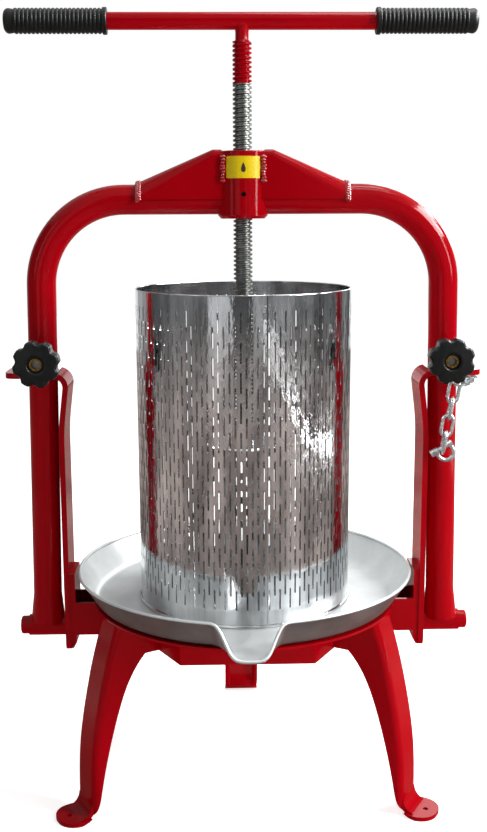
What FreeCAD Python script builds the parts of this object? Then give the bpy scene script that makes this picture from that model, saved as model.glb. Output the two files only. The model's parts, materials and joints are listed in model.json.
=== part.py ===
# A tilting-arch fruit press: a perforated basket stands in a juice pan on a three-legged
# base, and a screw in an arch over it pushes a loose disc down on the fruit.
# Millimetres. The floor is z = 0, the screw's axis is the Z axis, the pan's spout points
# along -Y, and the arch stands in the XZ plane.
import FreeCAD, Part
import math
import os

V = FreeCAD.Vector
X_AXIS = V(1, 0, 0)
Y_AXIS = V(0, 1, 0)
Z_AXIS = V(0, 0, 1)

# Clearances
running_gap = 0.05          # radial, a shaft that turns in a hole
face_gap = 0.3              # between faces of pieces that move past each other
loose_gap = 0.5             # radial, a stud that drops into a hole

# Basket
basket_diameter = 250.0
basket_height = 368.0
basket_wall = 1.5
slot_columns = 24
slot_rows = 6
slot_width = 3.0
slot_length = 34.0
slot_first_row = 34.0       # middle of the lowest row, above the basket's underside
basket_plain_band = 16.0    # unpierced band below the mouth

# Juice pan
pan_rim_diameter = 400.0
pan_floor_diameter = 358.0
pan_depth = 36.0
pan_sheet = 1.2
pan_bead = 1.8              # radius of the rolled rim
spout_reach = 21.0          # how far the lip stands out past the rim
spout_mouth_half = 37.0     # half width where it leaves the rim
spout_tip_half = 12.0       # half width of its floor at the tip
spout_tip_rise = 3.5        # height of its side walls at the tip

# Base
pan_seat_height = 229.0     # floor to the pan's underside
disc_diameter = 362.0
disc_thickness = 3.0
skirt_apothem = 130.0
skirt_height = 36.0
skirt_wall = 4.0
channel_width = 50.0
channel_height = 40.0
channel_wall = 4.0
end_plate_thickness = 6.5
end_plate_height = 96.0
end_plate_bevel = 10.0      # height of the bevel along its lower inside edge
end_plate_nose = 1.0        # thickness left below the bevel
plate_gap = 2.5             # pan rim to the end plates

# Legs
leg_width = 46.0
leg_wall = 4.0
leg_corner = 8.0
leg_ankle_radius = 216.0    # outer face of the leg at the ankle
leg_ankle_depth = 11.0
leg_taper = 39.0            # how much deeper the flanges grow from the ankle to the skirt
foot_reach = 251.0
foot_thickness = 5.0
foot_corner = 21.0
foot_instep = 16.0          # concave sweep from the ankle to the foot
foot_heel = 15.0            # how far outside the ankle the sole starts
foot_hole_radius = 3.0
foot_hole_circle = 237.0
leg_turns = (-150.0, -30.0, 90.0)

# Straps that hold the arch upright
strap_width = 53.0
strap_thickness = 6.5
strap_foot_drop = 63.0      # the strap's lower end below the pan's underside
strap_lean = 8.2            # how far the strap's top bows inwards
strap_lean_run = 68.0       # how far below the table the lean starts
strap_lean_bend = 260.0
strap_table_height = 503.75
strap_curl = 14.0
strap_table_length = 60.0   # how far the table stands out past the strap
strap_foot_corner = 10.0
strap_end_corner = 12.0
notch_gap = 1.35

# Arch
tube_diameter = 33.7
tube_wall = 2.6
arch_axis_height = 698.7
arch_leg_gap = -1.4         # strap to the leg's line, at the height of the top tube's axis
arch_splay = 8.5            # how much further out each leg is at the pivot
arch_bend = 97.0
flare_height = 36.0         # each leg spreads where it meets its lug
flare_spread = 3.8

# Pivot
pivot_drop = 38.5           # the pivot's axis below the pan's underside
lug_diameter = 25.5
lug_length = 45.0
pin_diameter = 16.0
thrust_washer = 1.2
thrust_washer_diameter = 28.0
pivot_head_diameter = 22.0
pivot_head_length = 9.5
pivot_screw_diameter = 8.0
pivot_screw_length = 24.0

# Screw nut and gussets
nut_diameter = 57.0
nut_bottom = 677.0
nut_top = 752.0
nut_chamfer = 3.5
oil_hole_diameter = 5.5
oil_hole_height = 704.0
gusset_sheet = 3.0
gusset_shoulder = 34.0      # where its level top turns down
gusset_length = 117.0
gusset_top_height = 753.5
gusset_fold = 8.0

# Screw and handle
screw_diameter = 22.0
screw_neck_length = 22.0    # end of the thread to the middle of the handle
screw_neck_diameter = 16.0
handle_height = 893.0
handle_diameter = 19.0
handle_half_length = 258.0
grip_diameter = 27.5
grip_start = 149.5
grip_end = 263.0
grip_collar_diameter = 29.5
grip_collar_length = 5.0
grip_round = 6.0

# Pressure foot and pressing disc
foot_plate_bottom = 406.0
foot_plate_diameter = 90.0
foot_plate_thickness = 10.0
foot_hub_diameter = 40.0
foot_hub_height = 22.0
journal_diameter = 14.0
journal_groove_diameter = 10.0
foot_pin_diameter = 4.0
press_disc_gap = 3.5        # radial, disc to basket
press_disc_thickness = 4.0
press_cup_diameter = 104.0
press_cup_wall = 4.0
press_cup_height = 9.0

# Clamp knobs
knob_above_table = 13.75
knob_lobes = 8
knob_turn = 21.0            # degrees that the first lobe leans from upright
knob_diameter = 53.0
knob_valley = 3.4
knob_thickness = 20.0
knob_hub_diameter = 28.0
knob_hub_length = 13.0
knob_recess_diameter = 19.0
knob_recess_depth = 4.0
insert_diameter = 14.0
stud_diameter = 10.0
stud_bite = 9.0             # how far the stud stands into the arch tube
knob_washer_thickness = 2.0
knob_washer_diameter = 26.0
ear_thickness = 6.8
ear_radius = 18.0

# Chain
wire_diameter = 4.3
link_inner_length = 20.5
link_width = 16.5
link_count = 4
chain_lean = 9.0            # degrees, towards the left
chain_slack = 0.3
tab_thickness = 2.5
tab_width = 15.0
tab_knee = 14.0             # from the bolt to where the tab steps down
tab_drop = 8.5
tab_bolt_inset = 13.0       # from the table's end
tab_bolt_y = -13.0
chain_offset = 8.3          # how far outside the arch leg's axis the chain hangs
chain_y = -33.0
tab_eye_radius = 4.6
chain_bolt_diameter = 8.0
chain_bolt_flats = 13.0
chain_bolt_head = 6.0
chain_washer_diameter = 22.0
chain_washer_thickness = 1.6
shackle_wire = 5.0
shackle_half_gap = 9.2
shackle_leg = 7.0
shackle_turn = 40.0
shackle_pin_length = 28.4
shackle_eye_radius = 4.2

# Worked out from the sizes above
basket_radius = basket_diameter / 2
basket_bottom = pan_seat_height + pan_sheet
basket_inner = basket_radius - basket_wall
basket_floor = basket_bottom + basket_wall
pan_rim_radius = pan_rim_diameter / 2
pan_rim_height = pan_seat_height + pan_depth
disc_bottom = pan_seat_height - disc_thickness
pivot_height = pan_seat_height - pivot_drop
strap_foot_height = pan_seat_height - strap_foot_drop
channel_bottom = disc_bottom - channel_height
plate_inside = pan_rim_radius + plate_gap
strap_inside = plate_inside + end_plate_thickness
strap_outside = strap_inside + strap_thickness
tube_radius = tube_diameter / 2
nut_radius = nut_diameter / 2
screw_radius = screw_diameter / 2
lug_start = strap_outside + thrust_washer + face_gap
lug_end = lug_start + lug_length
pin_end = lug_end + face_gap
table_bottom = strap_table_height - strap_thickness
strap_lean_start = strap_table_height - strap_lean_run
strap_reach = strap_outside + strap_table_length
arch_half_width = strap_outside + tube_radius + arch_leg_gap
screw_thread_top = handle_height - screw_neck_length
knob_height = strap_table_height + knob_above_table
foot_hub_top = foot_plate_bottom + foot_plate_thickness + foot_hub_height


def leg_axis_x(height):
    """How far out the arch's leg axis is at a height."""
    share = (arch_axis_height - height) / (arch_axis_height - pivot_height)
    return arch_half_width + arch_splay * share


def cylinder(radius, start, end):
    """A round bar from one point to another."""
    run = end.sub(start)
    return Part.makeCylinder(radius, run.Length, start, run)


def ring(outer, inner, start, end):
    """A tube from one point to another."""
    run = end.sub(start)
    bore = Part.makeCylinder(inner, run.Length, start, run)
    return cylinder(outer, start, end).cut(bore)


def box(low, high):
    """A block between two opposite corners."""
    size = high.sub(low)
    return Part.makeBox(size.x, size.y, size.z, low)


def path(corners, radii):
    """Straight runs through the corners, joined by tangent arcs."""
    edges = []
    last = corners[0]
    for before, corner, after, radius in zip(corners, corners[1:], corners[2:], radii):
        back = before.sub(corner).normalize()
        ahead = after.sub(corner).normalize()
        half = back.getAngle(ahead) / 2
        reach = radius / math.tan(half)
        start = corner + back * reach
        end = corner + ahead * reach
        middle_way = (back + ahead).normalize()
        middle = corner + middle_way * (radius / math.sin(half) - radius)
        if last.distanceToPoint(start) > 1e-6:
            edges.append(Part.LineSegment(last, start).toShape())
        edges.append(Part.Arc(start, middle, end).toShape())
        last = end
    if last.distanceToPoint(corners[-1]) > 1e-6:
        edges.append(Part.LineSegment(last, corners[-1]).toShape())
    return Part.Wire(edges)


def outline(corners, radii):
    """A closed face with a radius, or none, at each corner."""
    edges = []
    count = len(corners)
    ends = []
    for index, corner in enumerate(corners):
        before = corners[index - 1]
        after = corners[(index + 1) % count]
        radius = radii[index]
        if radius <= 0:
            ends.append((corner, corner, None))
            continue
        back = before.sub(corner).normalize()
        ahead = after.sub(corner).normalize()
        half = back.getAngle(ahead) / 2
        reach = radius / math.tan(half)
        middle_way = (back + ahead).normalize()
        middle = corner + middle_way * (radius / math.sin(half) - radius)
        ends.append((corner + back * reach, corner + ahead * reach, middle))
    for index, (start, end, middle) in enumerate(ends):
        if middle is not None:
            edges.append(Part.Arc(start, middle, end).toShape())
        following = ends[(index + 1) % count][0]
        if end.distanceToPoint(following) > 1e-6:
            edges.append(Part.LineSegment(end, following).toShape())
    return Part.Face(Part.Wire(edges))


def sweep(profile, rail):
    """A solid made by a closed profile along a rail."""
    return Part.Wire(rail.Edges).makePipeShell([profile], True, False)


def round_profile(radius, centre, direction):
    return Part.Wire(Part.makeCircle(radius, centre, direction))


def mirrored(shape):
    """The same piece on the other side of the YZ plane."""
    return shape.mirror(V(0, 0, 0), X_AXIS)


def hexagon_bar(flats, start, end):
    """A hexagonal bar between two points on its axis, its flats facing across Y."""
    run = end.sub(start)
    side = V(-run.z, 0, run.x) if abs(run.y) < 1e-9 else V(1, 0, 0)
    side = side.normalize() * (flats / math.sqrt(3))
    corners = []
    for index in range(6):
        turn = FreeCAD.Rotation(run, 60.0 * index)
        corners.append(start + turn.multVec(side))
    corners.append(corners[0])
    return Part.Face(Part.makePolygon(corners)).extrude(run)


def base_disc():
    return cylinder(disc_diameter / 2, V(0, 0, disc_bottom), V(0, 0, pan_seat_height))


def hexagon_prism(apothem, low, high):
    reach = apothem / math.cos(math.radians(30))
    corners = [V(reach * math.cos(math.radians(60 * n)), reach * math.sin(math.radians(60 * n)), low)
               for n in range(7)]
    return Part.Face(Part.makePolygon(corners)).extrude(V(0, 0, high - low))


def skirt(side):
    """Three walls of the six-sided skirt, in front of or behind the cross channel."""
    low = disc_bottom - skirt_height
    walls = hexagon_prism(skirt_apothem, low, disc_bottom)
    walls = walls.cut(hexagon_prism(skirt_apothem - skirt_wall, low, disc_bottom))
    far = 2 * skirt_apothem
    edge = channel_width / 2
    keep = box(V(-far, edge, low), V(far, far, disc_bottom))
    if side < 0:
        keep = box(V(-far, -far, low), V(far, -edge, disc_bottom))
    return walls.common(keep)


def cross_channel():
    """An upright U that runs between the two end plates."""
    half = channel_width / 2
    outer = box(V(-plate_inside, -half, channel_bottom), V(plate_inside, half, disc_bottom))
    inner_half = half - channel_wall
    hollow = box(V(-plate_inside, -inner_half, channel_bottom + channel_wall),
                 V(plate_inside, inner_half, disc_bottom))
    return outer.cut(hollow)


def end_plate():
    half = channel_width / 2
    low = strap_foot_height
    high = low + end_plate_height
    corners = [V(plate_inside, -half, low), V(plate_inside, half, low),
               V(plate_inside, half, high), V(plate_inside, -half, high)]
    face = outline(corners, [strap_foot_corner, strap_foot_corner, 2.0, 2.0])
    plate = face.extrude(V(end_plate_thickness, 0, 0))
    nose = strap_inside - end_plate_nose
    bevel = Part.Face(Part.makePolygon([V(plate_inside - 1, -half, low), V(nose, -half, low),
                                        V(plate_inside, -half, low + end_plate_bevel),
                                        V(plate_inside - 1, -half, low + end_plate_bevel),
                                        V(plate_inside - 1, -half, low)]))
    hole = cylinder(pin_diameter / 2, V(plate_inside - 1, 0, pivot_height),
                    V(strap_inside + 1, 0, pivot_height))
    return plate.cut(bevel.extrude(V(0, channel_width, 0))).cut(hole)


def strap():
    """A flat bar that rises beside the arch, curls outwards and ends in a notched table."""
    middle = strap_inside + strap_thickness / 2
    table = strap_table_height - strap_thickness / 2
    rail = path([V(middle, 0, strap_foot_height), V(middle, 0, strap_lean_start),
                 V(middle - strap_lean, 0, table), V(strap_reach, 0, table)],
                [strap_lean_bend, strap_curl])
    half = strap_width / 2
    profile = Part.makePolygon([
        V(strap_inside, -half, strap_foot_height), V(strap_outside, -half, strap_foot_height),
        V(strap_outside, half, strap_foot_height), V(strap_inside, half, strap_foot_height),
        V(strap_inside, -half, strap_foot_height)])
    bar = sweep(profile, rail)
    # Round the table's outer corners and the foot's lower corners
    near = strap_inside - 4 * strap_lean
    plan = outline([V(near, -half, 0), V(strap_reach, -half, 0), V(strap_reach, half, 0),
                    V(near, half, 0)], [0, strap_end_corner, strap_end_corner, 0])
    bar = bar.common(plan.extrude(V(0, 0, 2 * strap_table_height)))
    high = strap_table_height + 1
    side = outline([V(near, -half, strap_foot_height), V(near, half, strap_foot_height),
                    V(near, half, high), V(near, -half, high)],
                   [strap_foot_corner, strap_foot_corner, 0, 0])
    bar = bar.common(side.extrude(V(strap_reach, 0, 0)))
    # The notch that the arch leg leaves towards the rear, and the pivot pin's hole
    leg = leg_axis_x(strap_table_height)
    notch_radius = tube_radius + notch_gap
    low = table_bottom - strap_curl
    notch = cylinder(notch_radius, V(leg, 0, low), V(leg, 0, high))
    notch = notch.fuse(box(V(leg - notch_radius, 0, low), V(leg + notch_radius, strap_width, high)))
    hole = cylinder(pin_diameter / 2, V(near, 0, pivot_height), V(strap_reach, 0, pivot_height))
    return bar.cut(notch).cut(hole)


def leg_curve(points):
    curve = Part.BSplineCurve()
    curve.interpolate(points)
    return curve.toShape()


def leg_face(outside, inside_line, y):
    """A side view of the leg: its curved outside, closed by straight lines."""
    corners = [outside.lastVertex().Point] + inside_line + [outside.firstVertex().Point]
    edges = [outside]
    for start, end in zip(corners, corners[1:]):
        edges.append(Part.LineSegment(start, end).toShape())
    face = Part.Face(Part.Wire(Part.sortEdges(edges)[0]))
    face.translate(V(0, y, 0))
    return face


def leg_at_front():
    """One sabre-curved channel leg, in the XZ plane, opening inwards, with a flat foot."""
    top = disc_bottom
    skirt_low = disc_bottom - skirt_height
    disc_edge = disc_diameter / 2
    ankle = leg_ankle_radius
    half = leg_width / 2

    def outside(inset):
        return leg_curve([V(disc_edge - inset, 0, top), V(disc_edge + 15 - inset, 0, 0.78 * top),
                          V(ankle - 10 - inset, 0, 0.58 * top), V(ankle - 3 - inset, 0, 0.39 * top),
                          V(ankle - inset, 0, 0.18 * top), V(ankle - inset, 0, 0)])

    def inside():
        depth = leg_ankle_depth
        return leg_curve([V(ankle + foot_heel, 0, 0), V(ankle - depth + 9, 0, 0.04 * top),
                          V(ankle - depth, 0, 0.16 * top),
                          V(ankle - depth - 0.3 * leg_taper, 0, 0.39 * top),
                          V(ankle - depth - 0.6 * leg_taper, 0, 0.565 * top),
                          V(ankle - depth - leg_taper, 0, 0.73 * top),
                          V(skirt_apothem + 17, 0, skirt_low)])

    blank = leg_face(outside(0), [V(0, 0, 0), V(0, 0, top)], -half).extrude(V(0, leg_width, 0))
    corners = [edge for edge in blank.Edges
               if edge.BoundBox.YLength < 0.01 and edge.BoundBox.XMin > disc_edge - 1]
    blank = blank.makeFillet(leg_corner, corners)
    core_half = half - leg_wall
    core = leg_face(outside(leg_wall), [V(0, 0, 0), V(0, 0, top)], -core_half)
    core = core.extrude(V(0, 2 * core_half, 0))
    core_corners = [edge for edge in core.Edges
                    if edge.BoundBox.YLength < 0.01 and edge.BoundBox.XMin > disc_edge - leg_wall - 1]
    core = core.makeFillet(leg_corner - leg_wall, core_corners)
    # The foot turns outwards on the floor, below a swept instep
    pad = outline([V(ankle - leg_wall, -half, 0), V(foot_reach, -half, 0), V(foot_reach, half, 0),
                   V(ankle - leg_wall, half, 0)], [0, foot_corner, foot_corner, 0])
    pad = pad.extrude(V(0, 0, foot_thickness))
    toe_side = V(ankle + foot_instep, 0, foot_thickness)
    shin_side = V(ankle, 0, foot_thickness + foot_instep)
    hollow_by = foot_instep * (1 - math.sqrt(0.5))
    sweep_middle = V(ankle + hollow_by, 0, foot_thickness + hollow_by)
    heel_top = V(ankle - leg_wall, 0, foot_thickness + foot_instep)
    heel = V(ankle - leg_wall, 0, foot_thickness)
    instep = Part.Face(Part.Wire([Part.Arc(toe_side, sweep_middle, shin_side).toShape(),
                                  Part.LineSegment(shin_side, heel_top).toShape(),
                                  Part.LineSegment(heel_top, heel).toShape(),
                                  Part.LineSegment(heel, toe_side).toShape()]))
    flat_half = half - leg_corner / 2
    instep.translate(V(0, -flat_half, 0))
    instep = instep.extrude(V(0, 2 * flat_half, 0))
    # The flanges end on a curved inner edge, at the top on the skirt and below on the sole
    far_side = [V(skirt_apothem, 0, skirt_low), V(skirt_apothem, 0, top), V(2 * ankle, 0, top),
                V(2 * ankle, 0, 0)]
    keep = leg_face(inside(), far_side, -half).extrude(V(0, leg_width, 0))
    body = blank.cut(core).fuse([pad, instep]).common(keep).removeSplitter()
    hole = cylinder(foot_hole_radius, V(foot_hole_circle, 0, -1), V(foot_hole_circle, 0, top / 4))
    return body.cut(hole)


def leg(turn):
    piece = leg_at_front()
    piece.rotate(V(0, 0, 0), Z_AXIS, turn)
    return piece


def juice_pan():
    """A dished round pan with a rolled rim and a pouring spout at the front."""
    floor_radius = pan_floor_diameter / 2
    low = pan_seat_height
    high = pan_rim_height - pan_bead
    wall_top = pan_rim_radius - pan_bead
    lean = math.atan2(wall_top - floor_radius, high - low)
    across = pan_sheet / math.cos(lean)
    profile = outline([V(0, 0, low), V(floor_radius, 0, low), V(wall_top, 0, high),
                       V(wall_top - across, 0, high), V(floor_radius - across, 0, low + pan_sheet),
                       V(0, 0, low + pan_sheet)], [0, 8.0, 0, 0, 8.0 - pan_sheet, 0])
    bead = Part.Face(round_profile(pan_bead, V(wall_top, 0, high), Y_AXIS))
    profile = profile.fuse(bead).removeSplitter()
    dish = profile.Faces[0].revolve(V(0, 0, 0), Z_AXIS, 360)
    # The spout is a trough that narrows outwards from inside the wall
    back = -(floor_radius - 6)
    front = -(pan_rim_radius + spout_reach)
    slope = 0.5

    def trough(inset):
        sections = []
        for y, half in ((back, spout_mouth_half - 13), (front, spout_tip_half)):
            bottom = low + inset
            wide = half + slope * (high - bottom) + 2
            inner = half - 1.5 * inset
            reach = wide - 1.5 * inset
            corners = [V(-reach, y, high + 4), V(-inner, y, bottom),
                       V(inner, y, bottom), V(reach, y, high + 4)]
            radius = 7.0 - inset
            face = outline(corners, [0, radius, radius, 0])
            sections.append(face.OuterWire)
        return Part.makeLoft(sections, True, True)

    outer = trough(0)
    inner = trough(pan_sheet)
    # Its side walls come down to the tip
    far = pan_rim_radius
    tip_top = low + spout_tip_rise + pan_sheet
    rim_y = -(wall_top - 2)
    keep = Part.Face(Part.makePolygon([
        V(-far, back - 4, low - 1), V(-far, front, low - 1), V(-far, front, tip_top),
        V(-far, rim_y, high), V(-far, back - 4, high), V(-far, back - 4, low - 1)]))
    lip = outer.cut(inner).common(keep.extrude(V(2 * far, 0, 0)))
    inside = cylinder(floor_radius - across, V(0, 0, low + pan_sheet), V(0, 0, high))
    cone = Part.makeCone(floor_radius - across, wall_top - across, high - low, V(0, 0, low + pan_sheet))
    lip = lip.cut(cone).cut(inside)
    return dish.cut(inner).fuse(lip).removeSplitter()


def basket():
    """A round basket with staggered upright slots and a flat floor."""
    top = basket_bottom + basket_height
    wall = ring(basket_radius, basket_inner, V(0, 0, basket_bottom), V(0, 0, top))
    floor = cylinder(basket_inner, V(0, 0, basket_bottom), V(0, 0, basket_floor))
    body = wall.fuse(floor).removeSplitter()
    highest = top - basket_plain_band - slot_length / 2
    lowest = basket_bottom + slot_first_row
    pitch = (highest - lowest) / (slot_rows - 1)
    cutters = []
    for row in range(slot_rows):
        middle = lowest + row * pitch
        for column in range(slot_columns):
            turn = 360.0 / slot_columns * (column + 0.5 * (row % 2))
            slot = box(V(basket_inner - 2, -slot_width / 2, middle - slot_length / 2),
                       V(basket_radius + 2, slot_width / 2, middle + slot_length / 2))
            slot.rotate(V(0, 0, 0), Z_AXIS, turn)
            cutters.append(slot)
    return body.cut(Part.makeCompound(cutters))


def pressing_disc():
    """A loose round plate with a raised ring that keeps the pressure foot central."""
    low = basket_floor + face_gap
    top = low + press_disc_thickness
    radius = basket_inner - press_disc_gap
    plate = cylinder(radius, V(0, 0, low), V(0, 0, top))
    cup = ring(press_cup_diameter / 2, press_cup_diameter / 2 - press_cup_wall,
               V(0, 0, top), V(0, 0, top + press_cup_height))
    return plate.fuse(cup).removeSplitter()


def lug():
    bore = pin_diameter / 2 + running_gap
    return ring(lug_diameter / 2, bore, V(lug_start, 0, pivot_height), V(lug_end, 0, pivot_height))


def arch_tube():
    """One half of the arch: out from the nut, round the bend and down to the lug."""
    start = V(0, 0, arch_axis_height)
    corner = V(arch_half_width, 0, arch_axis_height)
    end_height = pivot_height + lug_diameter / 2 - 7
    end = V(leg_axis_x(end_height), 0, end_height)
    rail = path([start, corner, end], [arch_bend])
    tube = sweep(round_profile(tube_radius, start, X_AXIS), rail)
    flare_start = V(leg_axis_x(end_height + flare_height), 0, end_height + flare_height)
    down = end.sub(flare_start)
    flare = Part.makeCone(tube_radius, tube_radius + flare_spread, down.Length, flare_start, down)
    tube = tube.fuse(flare).removeSplitter()
    tube = tube.cut(sweep(round_profile(tube_radius - tube_wall, start, X_AXIS), rail))
    tube = tube.cut(cylinder(nut_radius, V(0, 0, nut_bottom), V(0, 0, nut_top)))
    tube = tube.cut(cylinder(lug_diameter / 2, V(lug_start - 5, 0, pivot_height),
                             V(lug_end + 5, 0, pivot_height)))
    hole_x = leg_axis_x(knob_height)
    hole = cylinder(stud_diameter / 2 + loose_gap, V(hole_x, -tube_diameter, knob_height),
                    V(hole_x, 0, knob_height))
    return tube.cut(hole)


def screw_nut():
    """The round boss at the arch's crown, bored for the screw, with an oil hole."""
    body = cylinder(nut_radius, V(0, 0, nut_bottom), V(0, 0, nut_top))
    lower = [edge for edge in body.Edges if abs(edge.BoundBox.ZMax - nut_bottom) < 1e-6]
    body = body.makeChamfer(nut_chamfer, lower)
    upper = [edge for edge in body.Edges if abs(edge.BoundBox.ZMin - nut_top) < 1e-6]
    body = body.makeFillet(1.5, upper)
    body = body.cut(cylinder(screw_radius + running_gap, V(0, 0, nut_bottom - 1), V(0, 0, nut_top + 1)))
    return body.cut(cylinder(oil_hole_diameter / 2, V(0, -nut_diameter, oil_hole_height),
                             V(0, 0, oil_hole_height)))


def saddle_section(x, half, top, fold):
    corners = [V(x, -half, arch_axis_height), V(x, -half, top),
               V(x, half, top), V(x, half, arch_axis_height)]
    return outline(corners, [0, fold, fold, 0]).OuterWire


def gusset():
    """A folded sheet that saddles the top tube and rises to the nut."""
    near = nut_radius * 0.5
    half = tube_radius + gusset_sheet
    end_top = arch_axis_height + half
    high = gusset_top_height
    outer = Part.makeLoft([saddle_section(near, half, high, gusset_fold),
                           saddle_section(gusset_shoulder, half, high, gusset_fold),
                           saddle_section(gusset_length, half, end_top, half - 0.6)], True, True)
    high = gusset_top_height - gusset_sheet
    fold = gusset_fold - gusset_sheet
    inner = Part.makeLoft([saddle_section(near, tube_radius, high, fold),
                           saddle_section(gusset_shoulder, tube_radius, high, fold),
                           saddle_section(gusset_length, tube_radius, end_top - gusset_sheet,
                                          tube_radius - 0.6)], True, True)
    sheet = outer.cut(inner)
    sheet = sheet.cut(cylinder(tube_radius, V(0, 0, arch_axis_height),
                               V(gusset_length, 0, arch_axis_height)))
    return sheet.cut(cylinder(nut_radius, V(0, 0, nut_bottom), V(0, 0, gusset_top_height + 10)))


def pivot_pin():
    pin = cylinder(pin_diameter / 2, V(plate_inside, 0, pivot_height), V(pin_end, 0, pivot_height))
    tapped = cylinder(pivot_screw_diameter / 2, V(pin_end - pivot_screw_length, 0, pivot_height),
                      V(pin_end, 0, pivot_height))
    return pin.cut(tapped)


def pivot_screw():
    head_end = pin_end + pivot_head_length
    head = cylinder(pivot_head_diameter / 2, V(pin_end, 0, pivot_height), V(head_end, 0, pivot_height))
    rim = [edge for edge in head.Edges if abs(edge.BoundBox.XMin - head_end) < 1e-6]
    head = head.makeFillet(2.5, rim)
    shank = cylinder(pivot_screw_diameter / 2, V(pin_end - pivot_screw_length, 0, pivot_height),
                     V(pin_end, 0, pivot_height))
    return head.fuse(shank).removeSplitter()


def thrust_ring():
    return ring(thrust_washer_diameter / 2, pin_diameter / 2, V(strap_outside, 0, pivot_height),
                V(strap_outside + thrust_washer, 0, pivot_height))


def screw():
    """The pressing screw, with a grooved journal below and a neck under the handle."""
    thread_bottom = foot_hub_top + face_gap
    journal_bottom = foot_plate_bottom + foot_plate_thickness / 2
    groove = foot_plate_bottom + foot_plate_thickness + foot_hub_height / 2
    half_groove = foot_pin_diameter / 2 + face_gap
    body = cylinder(screw_radius, V(0, 0, thread_bottom), V(0, 0, screw_thread_top))
    neck = cylinder(screw_neck_diameter / 2, V(0, 0, screw_thread_top), V(0, 0, handle_height))
    neck = neck.cut(cylinder(handle_diameter / 2, V(-nut_diameter, 0, handle_height),
                             V(nut_diameter, 0, handle_height)))
    journal = cylinder(journal_diameter / 2, V(0, 0, journal_bottom), V(0, 0, thread_bottom))
    journal = journal.cut(ring(journal_diameter, journal_groove_diameter / 2,
                               V(0, 0, groove - half_groove), V(0, 0, groove + half_groove)))
    neck = max(neck.Solids, key=lambda solid: solid.CenterOfMass.z * -1)
    return body.fuse([neck, journal]).removeSplitter()


def handle_bar():
    return cylinder(handle_diameter / 2, V(-handle_half_length, 0, handle_height),
                    V(handle_half_length, 0, handle_height))


def grip():
    """A plastic sleeve with a collar at its inner end and a closed, rounded outer end."""
    start = V(grip_start, 0, handle_height)
    body = cylinder(grip_diameter / 2, start, V(grip_end, 0, handle_height))
    rim = [edge for edge in body.Edges if abs(edge.BoundBox.XMin - grip_end) < 1e-6]
    body = body.makeFillet(grip_round, rim)
    collar = cylinder(grip_collar_diameter / 2, start, V(grip_start + grip_collar_length, 0, handle_height))
    body = body.fuse(collar).removeSplitter()
    return body.cut(cylinder(handle_diameter / 2, start, V(handle_half_length, 0, handle_height)))


def pressure_foot():
    """The round foot that swivels on the screw's end."""
    top = foot_plate_bottom + foot_plate_thickness
    plate = cylinder(foot_plate_diameter / 2, V(0, 0, foot_plate_bottom), V(0, 0, top))
    upper = [edge for edge in plate.Edges if abs(edge.BoundBox.ZMin - top) < 1e-6]
    plate = plate.makeChamfer(2.0, upper)
    hub = cylinder(foot_hub_diameter / 2, V(0, 0, top), V(0, 0, foot_hub_top))
    body = plate.fuse(hub).removeSplitter()
    journal_bottom = foot_plate_bottom + foot_plate_thickness / 2 - face_gap
    body = body.cut(cylinder(journal_diameter / 2 + running_gap, V(0, 0, journal_bottom),
                             V(0, 0, foot_hub_top)))
    for x in (-foot_pin_x(), foot_pin_x()):
        body = body.cut(foot_pin(x))
    return body


def foot_pin_x():
    return journal_groove_diameter / 2 + running_gap + foot_pin_diameter / 2


def foot_pin(x):
    height = foot_plate_bottom + foot_plate_thickness + foot_hub_height / 2
    reach = math.sqrt((foot_hub_diameter / 2) ** 2 - (abs(x) + foot_pin_diameter / 2) ** 2)
    return cylinder(foot_pin_diameter / 2, V(x, -reach, height), V(x, reach, height))


def foot_pins():
    return Part.makeCompound([foot_pin(-foot_pin_x()), foot_pin(foot_pin_x())])


# The knobs turn about an axis along Y, in front of each arch leg
ear_rear = -(tube_radius + notch_gap)
ear_front = ear_rear - ear_thickness
washer_front = ear_front - knob_washer_thickness
knob_rear = washer_front
knob_lobe_rear = knob_rear - knob_hub_length
knob_front = knob_lobe_rear - knob_thickness
stud_front = knob_front + knob_recess_depth + 4
stud_tip = -tube_radius + stud_bite


def knob_axis(y):
    return V(leg_axis_x(knob_height), y, knob_height)


def clamp_ear():
    """An upright ear on the front of the strap's table, tapped for the clamp stud."""
    x = leg_axis_x(knob_height)
    low = strap_table_height
    upright = box(V(x - ear_radius, ear_front, low), V(x + ear_radius, ear_rear, knob_height))
    crown = cylinder(ear_radius, knob_axis(ear_front), knob_axis(ear_rear))
    ear = upright.fuse(crown).removeSplitter()
    high = knob_height + 2 * ear_radius
    above = box(V(x - 2 * ear_radius, ear_front - 1, low), V(x + 2 * ear_radius, ear_rear + 1, high))
    ear = ear.common(above)
    return ear.cut(cylinder(stud_diameter / 2 + running_gap, knob_axis(ear_front - 1),
                            knob_axis(ear_rear + 1)))


def knob():
    """A lobed hand knob with a hub behind and a recess in front."""
    radius = knob_diameter / 2
    blank = cylinder(radius, knob_axis(knob_lobe_rear), knob_axis(knob_front))
    valley_radius = radius * math.sin(math.pi / knob_lobes) * 0.62
    centre_out = radius - knob_valley + valley_radius
    for index in range(knob_lobes):
        angle = 2 * math.pi * (index + 0.5) / knob_lobes + math.radians(90 + knob_turn)
        shift = V(centre_out * math.cos(angle), 0, centre_out * math.sin(angle))
        blank = blank.cut(cylinder(valley_radius, knob_axis(knob_lobe_rear + 1) + shift,
                                   knob_axis(knob_front - 1) + shift))
    front_edges = [edge for edge in blank.Edges if abs(edge.BoundBox.YMax - knob_front) < 1e-6]
    blank = blank.makeChamfer(1.5, front_edges)
    hub = cylinder(knob_hub_diameter / 2, knob_axis(knob_rear), knob_axis(knob_lobe_rear))
    body = blank.fuse(hub).removeSplitter()
    body = body.cut(cylinder(knob_recess_diameter / 2, knob_axis(knob_front - 1),
                             knob_axis(knob_front + knob_recess_depth)))
    return body.cut(cylinder(insert_diameter / 2, knob_axis(knob_front - 1), knob_axis(knob_rear)))


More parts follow.
